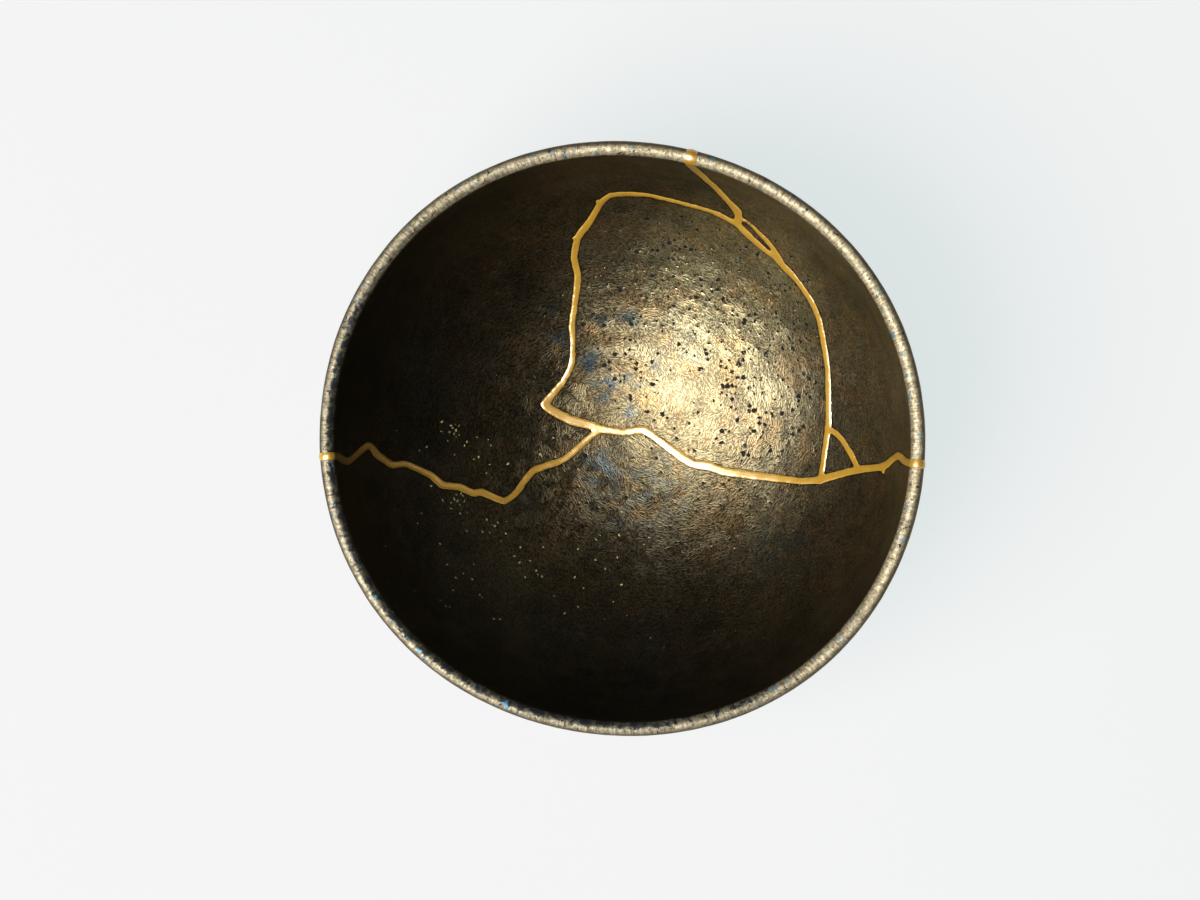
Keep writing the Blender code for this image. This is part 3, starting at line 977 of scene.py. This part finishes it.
# Effects that the finishes share
def fibrous_grain():
    """Short curling strokes that swirl round a point, patch by patch."""
    tree, start, end = new_tree("fibrous_grain", "ShaderNodeTree", [
        ("Vector", "Vector", None), ("Centre", "Vector", None), ("Patch", "Float", 0.0012),
        ("Stroke", "Float", 0.00022), ("Stretch", "Float", 3.5), ("Curl", "Float", 0.9),
        ("Disorder", "Float", 2.2),
    ], [("Grain", "Float", None)])
    cells = place(tree, "ShaderNodeTexVoronoi", Vector=start["Vector"],
                  Scale=calc(tree, "DIVIDE", 1.0, start["Patch"]), Randomness=1.0)
    heart = cells.outputs["Position"]
    chance = parts_of(tree, cells.outputs["Color"])[0]
    x, y, _ = parts_of(tree, vector_calc(tree, "SUBTRACT", heart, start["Centre"]))
    flow = calc(tree, "ADD", calc(tree, "ARCTAN2", y, x), start["Curl"])
    turn = times_plus(tree, calc(tree, "SUBTRACT", chance, 0.5), start["Disorder"], flow)
    local = vector_calc(tree, "SUBTRACT", start["Vector"], heart)
    spun = place(tree, "ShaderNodeVectorRotate", {"rotation_type": "Z_AXIS"}, Vector=local,
                 Angle=times(tree, turn, -1.0)).outputs[0]
    narrow = calc(tree, "DIVIDE", 1.0, start["Stretch"])
    drawn = vector_calc(tree, "MULTIPLY", spun, joined(tree, narrow, 1.0, 1.0))
    apart = vector_calc(tree, "ADD", drawn, cells.outputs["Color"])
    strokes = place(tree, "ShaderNodeTexNoise", Vector=apart, Detail=2.0, Roughness=0.6,
                    Scale=calc(tree, "DIVIDE", 1.0, start["Stroke"]))
    feed(tree, end["Grain"], mapped(tree, strokes.outputs[0], 0.30, 0.70))
    return tree


def drifting_tone():
    """Slow change of tone over a surface, in two sizes of cloud."""
    tree, start, end = new_tree("drifting_tone", "ShaderNodeTree", [
        ("Vector", "Vector", None), ("Broad", "Float", 0.018), ("Small", "Float", 0.004),
        ("Contrast", "Float", 0.5),
    ], [("Tone", "Float", None)])
    tones = []
    for size, detail in (("Broad", 2.0), ("Small", 3.0)):
        scale = calc(tree, "DIVIDE", 1.0, start[size])
        tones.append(place(tree, "ShaderNodeTexNoise", Vector=start["Vector"], Scale=scale,
                           Detail=detail, Roughness=0.55, Distortion=0.4).outputs[0])
    both = times_plus(tree, tones[1], 0.4, times(tree, tones[0], 0.6))
    low = times_plus(tree, start["Contrast"], 0.35, 0.0)
    feed(tree, end["Tone"], mapped(tree, both, low, rest_of(tree, low)))
    return tree


def new_finish(name):
    """A material with its tree, its shader and its Object coordinates."""
    made = bpy.data.materials.new(name)
    made.use_nodes = True
    tree = made.node_tree
    spot = tree.nodes.new("ShaderNodeTexCoord").outputs["Object"]
    return made, tree, tree.nodes["Principled BSDF"], spot


def effect(tree, group, **inputs):
    made = place(tree, "ShaderNodeGroup", {"node_tree": group}, **inputs)
    return made.outputs


def stored(tree, name):
    """A stored value of the mesh, in a material."""
    return place(tree, "ShaderNodeAttribute", {"attribute_name": name}).outputs["Fac"]


def scattered_dots(tree, vector, cell, least, most):
    """Small irregular dots, one at most in each cell, of sizes from least to most."""
    ragged = place(tree, "ShaderNodeTexNoise", Vector=vector, Scale=1.0 / (0.45 * cell), Detail=2.0)
    bent = vector_calc(tree, "ADD", vector,
                       vector_calc(tree, "SCALE", ragged.outputs["Color"], scale=0.75 * cell))
    cells = place(tree, "ShaderNodeTexVoronoi", Vector=bent, Scale=1.0 / cell)
    chance = parts_of(tree, cells.outputs["Color"])[0]
    size = times_plus(tree, calc(tree, "POWER", chance, 3.0), (most - least) / cell, least / cell)
    return mapped(tree, calc(tree, "DIVIDE", cells.outputs["Distance"], size), 1.15, 0.75)


def on_wall(x, y):
    """Place of a point of the photo on the inner wall, in the part's frame."""
    plane = to_plane((x, y))
    angle = np.array([math.atan2(plane[1], plane[0])])
    radius = wall_radius(np.array([math.hypot(*plane)]), angle)
    return Vector(placed(radius, angle, inner_level(radius))[0])


def near(tree, spot, x, y, reach):
    """1 at a point of the photo, fading to 0 at a reach in metres."""
    away = vector_calc(tree, "DISTANCE", spot, on_wall(x, y))
    return mapped(tree, away, reach, 0.15 * reach)


# Bronze-black glaze, worn pale on the lip, with bare clay under the foot, and painted light and shade
# inside and on the lip
def blue_share(tree, spot):
    """How blue the glaze is, from patch to patch."""
    here = 0.0
    for *patch, share in BLUE_PATCHES:
        here = calc(tree, "MAXIMUM", here, times(tree, near(tree, spot, *patch), share))
    blue = mapped(tree, cloud(tree, spot, 0.0030, 1.0, distortion=0.2), 0.36, 0.62, 0.0, 0.85)
    return times(tree, blue, here)


def black_pits(tree, spot):
    """The burst pinholes, painted black partly as their dark body and partly as shade in their
    hollows, and the pricks between them.
    """
    pricked = mapped(tree, cloud(tree, spot, 0.008, 2.0), 0.36, 0.52)
    pricked = times(tree, pricked, near(tree, spot, *PRICKED_PATCH))
    dots = scattered_dots(tree, spot, 0.0012, 0.00001, 0.00068)
    dots = times(tree, dots, calc(tree, "GREATER_THAN", pricked, 0.3))
    torn = calc(tree, "SUBTRACT", cloud(tree, spot, 0.00055, 1.0, 0.5), 0.5)
    ragged = times_plus(tree, torn, 1.6, stored(tree, "pit"))
    return calc(tree, "MAXIMUM", dots, mapped(tree, ragged, 0.50, 0.72))


def lip_wear_and_shade(tree, spot, streaks, lit_side):
    """Where the lip is worn pale, and its colour with its marks, with painted shade on the halves of
    the lip that face away from the lamp.
    """
    ragged = times_plus(tree, cloud(tree, spot, 0.0011, 3.0, 0.65), 0.0022, stored(tree, "from_lip"))
    over = times_plus(tree, cloud(tree, spot, 0.0014, 3.0, 0.6), 0.5, stored(tree, "over_lip"))
    lip = times(tree, mapped(tree, ragged, LIP_WORN[1], LIP_WORN[0]),
                mapped(tree, over, LIP_OUTSIDE[1], LIP_OUTSIDE[0]))
    tone = mapped(tree, calc(tree, "ADD", streaks, cloud(tree, spot, 0.0007, 2.0)), 0.60, 1.45)
    colour = mixed(tree, tone, LIP_DARK, LIP_PALE)
    # worn here marks the side whose inner wall faces the lamp, with some cloud; it places painted
    # shade on the lip, not wear
    uneven = times_plus(tree, cloud(tree, spot, 0.016, 2.0), 1.6, lit_side)
    worn = mapped(tree, uneven, -0.2, 1.5)
    # painted shade, dull and bluish, on the inner half of the lip where it faces away from the lamp
    inward = mapped(tree, over, 0.55, -0.05, 0.30, 1.0)
    lip_painted_shade = times(tree, inward, rest_of(tree, worn))
    colour = tinted(tree, lip_painted_shade, colour, LIP_SHADE_TINT)
    # painted shade, dark olive, on the outer edge of the lip where it faces away from the lamp
    outer_edge_shade = times(tree, mapped(tree, over, 0.35, 0.75), worn)
    colour = mixed(tree, times(tree, outer_edge_shade, 0.85), colour, LIP_OLIVE_SHADE)
    # dark marks, more of them under the painted shade
    least = mapped(tree, lip_painted_shade, 0.3, 1.0, 0.60, 0.44)
    marks = cloud(tree, spot, 0.0016, 3.0, 0.65, 0.5)
    marks = mapped(tree, calc(tree, "SUBTRACT", marks, least), 0.0, 0.09)
    colour = mixed(tree, marks, colour, LIP_MARK)
    elsewhere = vector_calc(tree, "ADD", spot, (0.3, 0.1, 0.2))
    teal = mapped(tree, cloud(tree, elsewhere, 0.0017, 1.0), 0.66, 0.73)
    return lip, mixed(tree, times(tree, teal, 0.8), colour, LIP_TEAL)


def bronze_glaze(grain_tree, tone_tree):
    made, tree, shader, spot = new_finish("bronze_glaze")
    x, y, z = parts_of(tree, spot)
    inside = stored(tree, "inside")

    # iron glaze with rust clouds and a fibrous grain
    tone = effect(tree, tone_tree, Vector=spot, Contrast=0.75)["Tone"]
    grain = effect(tree, grain_tree, Vector=spot, Centre=on_wall(*SWIRL_HEART), Patch=0.0024,
                   Stroke=0.00029, Stretch=3.6, Curl=0.9, Disorder=1.8)["Grain"]
    colour = mixed(tree, tone, GLAZE_UMBER, GLAZE_BRONZE)
    rust = mapped(tree, cloud(tree, spot, 0.007, 4.0, 0.65), 0.46, 0.68)
    colour = mixed(tree, times(tree, rust, 0.70), colour, GLAZE_RUST)
    # each sherd's tone, partly its own and partly painted light and shade, scales the grain
    shade = times(tree, mapped(tree, grain, 0.0, 1.0, 0.50, 1.45), stored(tree, "glaze_tone"))
    colour = mixed(tree, 1.0, colour, joined(tree, shade, shade, shade), "MULTIPLY")

    # darker and bluer inside as painted shade on the wall that faces away from the lamp, lighter as
    # painted light on the wall that faces it, and a painted highlight where the sheen spreads
    around = vector_calc(tree, "NORMALIZE", joined(tree, x, y, 0.0))
    lit_side = vector_calc(tree, "DOT_PRODUCT", around, LIT_SIDE)
    on_side = times(tree, mapped(tree, z, 0.008, 0.028), inside)
    wall_painted_shade = times(tree, on_side, mapped(tree, lit_side, 0.45, -0.60))
    wall_painted_light = times(tree, on_side, mapped(tree, lit_side, 0.0, 0.9))
    colour = tinted(tree, wall_painted_shade, colour, GLAZE_PAINTED_SHADE)
    colour = tinted(tree, wall_painted_light, colour, GLAZE_PAINTED_LIGHT)
    # painted highlight: a lighter patch on the middle sherd where the lamp's sheen spreads
    colour = tinted(tree, near(tree, spot, *PAINTED_HIGHLIGHT_PATCH), colour, GLAZE_PAINTED_HIGHLIGHT)
    colour = mixed(tree, times(tree, blue_share(tree, spot), inside), colour, GLAZE_BLUE)

    # pits, black partly as bare dark body and partly as painted shade in their hollows, a dark line
    # along the gold, and a few glints
    pits = black_pits(tree, spot)
    seam_line = mapped(tree, stored(tree, "away"), 2.0, 0.2, 0.0, 0.50)
    colour = mixed(tree, calc(tree, "MAXIMUM", pits, seam_line), colour, PIT_BLACK)
    glints = scattered_dots(tree, vector_calc(tree, "SCALE", spot, scale=1.37), 0.0023, 0.0, 0.00019)
    glints = times(tree, glints, inside)
    colour = mixed(tree, times(tree, glints, 0.7), colour, GLINT_PALE)

    # worn lip, with streaks that run across it, and painted shade where the lip faces away from the
    # lamp
    streaks = cloud(tree, vector_calc(tree, "SCALE", around, scale=RIM_RADIUS), 0.00042, 3.0, 0.7)
    lip, lip_colour = lip_wear_and_shade(tree, spot, streaks, lit_side)
    colour = mixed(tree, lip, colour, lip_colour)

    # bare clay on the sole of the foot
    ragged_foot = times_plus(tree, cloud(tree, spot, 0.0030, 3.0), 0.0022, z)
    clay = mapped(tree, ragged_foot, 0.0034, 0.0028)
    clay = times(tree, clay, rest_of(tree, inside))
    grit = cloud(tree, spot, 0.0006, 3.0, 0.7)
    colour = mixed(tree, clay, colour, mixed(tree, grit, CLAY_DARK, CLAY_BROWN))

    # sheen and fine relief
    metal = mapped(tree, lip, 0.0, 1.0, GLAZE_METAL, LIP_METAL)
    metal = times(tree, metal, rest_of(tree, calc(tree, "MAXIMUM", clay, pits)))
    rough = times_plus(tree, grain, 0.08, GLAZE_ROUGH)
    rough = times_plus(tree, calc(tree, "MAXIMUM", pits, clay), 0.35, rough)
    rough = times_plus(tree, glints, -0.25, rough)
    rough = times_plus(tree, lip, 0.14, rough)
    height = times_plus(tree, pits, -0.3, grain)
    first = place(tree, "ShaderNodeBump", Height=height, Distance=0.000045, Strength=0.85)
    rim_height = times(tree, calc(tree, "ADD", streaks, grit), lip)
    second = place(tree, "ShaderNodeBump", Height=rim_height, Distance=0.00006, Strength=0.7,
                   Normal=first.outputs[0])
    feed_all(tree, shader, Base_Color=colour, Metallic=metal, Roughness=rough,
             Specular_IOR_Level=0.4, Normal=second.outputs[0])
    return made


# Gold powder burnished onto the lacquer
def gold_lacquer(grain_tree, tone_tree):
    made, tree, shader, spot = new_finish("gold_lacquer")
    across = stored(tree, "across")
    tone = effect(tree, tone_tree, Vector=spot, Broad=0.007, Small=0.0016, Contrast=0.7)["Tone"]
    powder = cloud(tree, spot, 0.00016, 2.0, 0.7)
    brushed = effect(tree, grain_tree, Vector=spot, Centre=on_wall(*SWIRL_HEART), Patch=0.0022,
                     Stroke=0.00018, Stretch=5.0, Curl=0.4, Disorder=1.2)["Grain"]
    colour = mixed(tree, tone, GOLD_DEEP, GOLD_BRIGHT)
    colour = mixed(tree, mapped(tree, powder, 0.60, 0.35, 0.0, 0.35), colour, GOLD_DEEP)
    edge = mapped(tree, times_plus(tree, powder, 0.25, across), 0.78, 0.98)
    colour = mixed(tree, times(tree, edge, 0.25), colour, GOLD_EDGE)
    under = mapped(tree, across, 0.96, 1.0, 0.0, 0.55)
    colour = mixed(tree, under, colour, GOLD_UNDER)
    metal = mapped(tree, across, 0.95, 1.0, GOLD_METAL, 0.2)
    rough = mapped(tree, tone, 0.0, 1.0, GOLD_ROUGH + 0.08, GOLD_ROUGH)
    height = times_plus(tree, powder, 0.8, times(tree, brushed, 0.4))
    bump = place(tree, "ShaderNodeBump", Height=height, Distance=0.000022, Strength=0.7)
    feed_all(tree, shader, Base_Color=colour, Metallic=metal, Roughness=rough, Coat_Weight=1.0,
             Coat_Roughness=0.40, Coat_IOR=2.8, Normal=bump.outputs[0])
    return made


# Pale crystals in the glaze
def crystal_glaze(tone_tree):
    made, tree, shader, spot = new_finish("crystal_glaze")
    tone = effect(tree, tone_tree, Vector=spot, Broad=0.003, Small=0.0007, Contrast=0.8)["Tone"]
    feed_all(tree, shader, Base_Color=mixed(tree, tone, CRYSTAL_GREY, CRYSTAL_YELLOW),
             Roughness=mapped(tree, tone, 0.0, 1.0, 0.55, 0.35))
    return made


def pale_floor():
    made, tree, shader, spot = new_finish("pale_floor")
    tone = cloud(tree, spot, 0.35, 2.0)
    feed_all(tree, shader, Base_Color=mixed(tree, tone, FLOOR_SHADE, FLOOR_LIT), Roughness=0.9,
             Specular_IOR_Level=0.0, Emission_Color=FLOOR_GLOW, Emission_Strength=1.0)
    return made


# Colours of the finishes, as linear red, green and blue
GLAZE_UMBER = (0.082, 0.069, 0.043, 1.0)
GLAZE_BRONZE = (0.200, 0.172, 0.108, 1.0)
GLAZE_RUST = (0.175, 0.122, 0.064, 1.0)
# tints of painted shade on the inner wall that faces away from the lamp, and of painted light on the
# wall that faces it
GLAZE_PAINTED_SHADE = (0.28, 0.34, 0.54, 1.0)
GLAZE_PAINTED_LIGHT = (1.50, 1.58, 1.68, 1.0)
# tint of the painted highlight patch
GLAZE_PAINTED_HIGHLIGHT = (1.70, 1.74, 1.66, 1.0)
GLAZE_BLUE = (0.065, 0.098, 0.118, 1.0)
PIT_BLACK = (0.006, 0.005, 0.004, 1.0)
GLINT_PALE = (0.85, 0.85, 0.80, 1.0)
LIP_PALE = (0.640, 0.590, 0.440, 1.0)
LIP_DARK = (0.170, 0.136, 0.082, 1.0)
# tint of painted shade on the lip
LIP_SHADE_TINT = (0.300, 0.330, 0.360, 1.0)
# dark olive of painted shade on the lip's outer edge
LIP_OLIVE_SHADE = (0.105, 0.086, 0.044, 1.0)
LIP_MARK = (0.035, 0.038, 0.045, 1.0)
LIP_TEAL = (0.110, 0.260, 0.360, 1.0)
CLAY_DARK = (0.060, 0.038, 0.026, 1.0)
CLAY_BROWN = (0.190, 0.120, 0.080, 1.0)
GOLD_DEEP = (0.455, 0.250, 0.006, 1.0)
GOLD_BRIGHT = (0.570, 0.365, 0.018, 1.0)
GOLD_EDGE = (0.650, 0.460, 0.130, 1.0)
GOLD_UNDER = (0.110, 0.055, 0.018, 1.0)
CRYSTAL_GREY = (0.170, 0.170, 0.110, 1.0)
CRYSTAL_YELLOW = (0.560, 0.520, 0.240, 1.0)
FLOOR_LIT = (0.104, 0.074, 0.078, 1.0)
FLOOR_SHADE = (0.101, 0.071, 0.075, 1.0)
FLOOR_GLOW = (0.742, 0.800, 0.800, 1.0)

# Sheen of the finishes, and how far the worn lip reaches
GLAZE_METAL = 0.97
GLAZE_ROUGH = 0.35
LIP_METAL = 0.45
LIP_WORN = (0.0034, 0.0046)
LIP_OUTSIDE = (0.55, 1.05)
GOLD_METAL = 0.22
GOLD_ROUGH = 0.38

# Side of the bowl whose inner wall faces the lamp, which the painted light and shade inside and on
# the lip follow
LIT_SIDE = (0.75, 0.62, 0.0)

# What the grain swirls round, a patch of painted highlight and a patch of pricks, as (x, y, reach in
# metres), on the photo
SWIRL_HEART = (640, 420)
PAINTED_HIGHLIGHT_PATCH = (738, 270, 0.032)
PRICKED_PATCH = (715, 325, 0.045)

# Blue patches as (x, y, reach in metres, share) on the photo
BLUE_PATCHES = (
    (605, 388, 0.0050, 1.0), (592, 362, 0.0045, 1.0), (628, 318, 0.0036, 1.0),
    (602, 320, 0.0030, 0.7), (561, 335, 0.0060, 0.9), (555, 310, 0.0040, 0.7),
    (632, 380, 0.0034, 0.8), (660, 365, 0.0030, 0.6), (628, 410, 0.0034, 0.7),
    (680, 330, 0.0130, 0.3), (600, 470, 0.0080, 0.7), (640, 500, 0.0180, 0.4),
    (465, 635, 0.0080, 0.6), (780, 560, 0.0150, 0.5), (520, 500, 0.0060, 0.5),
)

# Patches of crystals as (x, y, reach in pixels, share) on the photo
SPECK_PATCHES = (
    (451, 427, 9, 1.0), (458, 498, 12, 0.9), (493, 528, 9, 1.0), (500, 537, 7, 0.7),
    (530, 562, 14, 0.30), (470, 470, 40, 0.10), (450, 560, 60, 0.05), (580, 580, 30, 0.12),
    (547, 460, 10, 0.5), (600, 500, 60, 0.03),
)

# Light: a warm lamp from the lower left, a soft light overhead and a faint cool fill
KEY_AZIMUTH = math.radians(211.0)
KEY_ELEVATION = math.radians(56.5)
KEY_DISTANCE = 1.8
KEY_SIZE = 1.20
KEY_POWER = 54.0
KEY_COLOUR = (1.0, 0.97, 0.94)
OVERHEAD_PLACE = (-0.22, -0.14, 1.15)
OVERHEAD_SIZE = 0.60
OVERHEAD_POWER = 7.0
OVERHEAD_COLOUR = (1.0, 0.95, 0.87)
FILL_COLOUR = (0.90, 0.96, 1.0)
FILL_STRENGTH = 0.007
FLOOR_REACH = 3.0
BACKDROP_COLOUR = (0.92, 0.92, 0.92)
PHOTO_GAMMA = 0.82


# What stands round the bowl
def round_lamp(name, size, power, colour, spot):
    lamp = bpy.data.lights.new(name, "AREA")
    lamp.shape = "DISK"
    lamp.size = size
    lamp.energy = power
    lamp.color = colour
    made = added(name, lamp)
    made.location = spot
    return made


def studio():
    """The floor, both lamps and the fill, with a plain backdrop."""
    flat = bpy.data.meshes.new("floor")
    sides = ((-1, -1), (1, -1), (1, 1), (-1, 1))
    corners = [(FLOOR_REACH * x, FLOOR_REACH * y, 0.0) for x, y in sides]
    flat.from_pydata(corners, [], [(0, 1, 2, 3)])
    floor = added("floor", flat)
    flat.materials.append(pale_floor())

    level = KEY_DISTANCE * math.cos(KEY_ELEVATION)
    spot = (level * math.cos(KEY_AZIMUTH), level * math.sin(KEY_AZIMUTH),
            HEIGHT + KEY_DISTANCE * math.sin(KEY_ELEVATION))
    key = round_lamp("key", KEY_SIZE, KEY_POWER, KEY_COLOUR, spot)
    aim = Vector((0.0, 0.0, 0.5 * HEIGHT)) - key.location
    key.rotation_euler = aim.to_track_quat("-Z", "Y").to_euler()
    round_lamp("overhead", OVERHEAD_SIZE, OVERHEAD_POWER, OVERHEAD_COLOUR, OVERHEAD_PLACE)

    world = bpy.data.worlds.new("studio")
    bpy.context.scene.world = world
    world.use_nodes = True
    tree = world.node_tree
    straight = tree.nodes.new("ShaderNodeLightPath").outputs["Is Camera Ray"]
    fill = tuple(FILL_STRENGTH * part for part in FILL_COLOUR)
    sky = mixed(tree, straight, (*fill, 1.0), (*BACKDROP_COLOUR, 1.0))
    feed(tree, tree.nodes["Background"].inputs["Color"], sky)


def camera_over_bowl():
    """A camera straight above the bowl, which the photo's frame holds off its middle."""
    lens = bpy.data.cameras.new("camera")
    camera = added("camera", lens)
    bpy.context.scene.camera = camera
    camera.location = (0.0, 0.0, HEIGHT + CAMERA_ABOVE_RIM)
    lens.sensor_fit = "HORIZONTAL"
    lens.sensor_width = 36.0
    lens.lens = lens.sensor_width * CAMERA_ABOVE_RIM / (PHOTO_SIZE[0] * PIXEL)
    lens.shift_x = (PHOTO_SIZE[0] / 2 - PHOTO_CENTRE[0]) / PHOTO_SIZE[0]
    lens.shift_y = (PHOTO_CENTRE[1] - PHOTO_SIZE[1] / 2) / PHOTO_SIZE[0]
    lens.clip_start = 0.01


# The whole bowl
def dressed_bowl():
    """The six sherds, the gold between them and the crystals in the glaze."""
    net = build_net()
    centres = net["photo"][net["triangles"]].mean(axis=1)
    away = net["away"][net["triangles"]].mean(axis=1)
    gold_groups = [group for group in range(net["number"])
                   if away[net["group"] == group].sum() < 0.0]
    in_gold = np.isin(net["group"], gold_groups)
    grain_tree = fibrous_grain()
    tone_tree = drifting_tone()
    glaze = bronze_glaze(grain_tree, tone_tree)
    gold = gold_lacquer(grain_tree, tone_tree)
    crystal = crystal_glaze(tone_tree)
    form = thrown_form()
    crystals = strewn_crystals()

    def finish(piece, node=None):
        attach(piece, "root")
        if node:
            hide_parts(node)

    for number, (node, (x, y, glaze_tone)) in enumerate(SHERDS.items()):
        away = away_from(centres, x, y)
        away[in_gold] = np.inf
        group = net["group"][int(np.argmin(away))]
        piece = shell_piece(node + "_glazed", net, net["group"] == group, False, glaze_tone)
        piece.data = applied(piece, form, Material=glaze)
        smooth(piece)
        finish(piece, node)
        strewn = applied(piece, crystals, Material=crystal, Seed=number + 3)
        if len(strewn.polygons) > 0:
            finish(added(node + "_crystals", strewn))
    line = shell_piece("gold_line", net, in_gold, True)
    line.data = applied(line, form, Material=gold)
    smooth(line)
    finish(line, "gold_seam")


def smooth(piece):
    piece.data.shade_smooth()
    piece.data.set_sharp_from_angle(angle=SHARP_ANGLE)


dressed_bowl()
studio()
camera_over_bowl()
bpy.context.scene.view_settings.view_transform = "Standard"
bpy.context.scene.view_settings.gamma = PHOTO_GAMMA
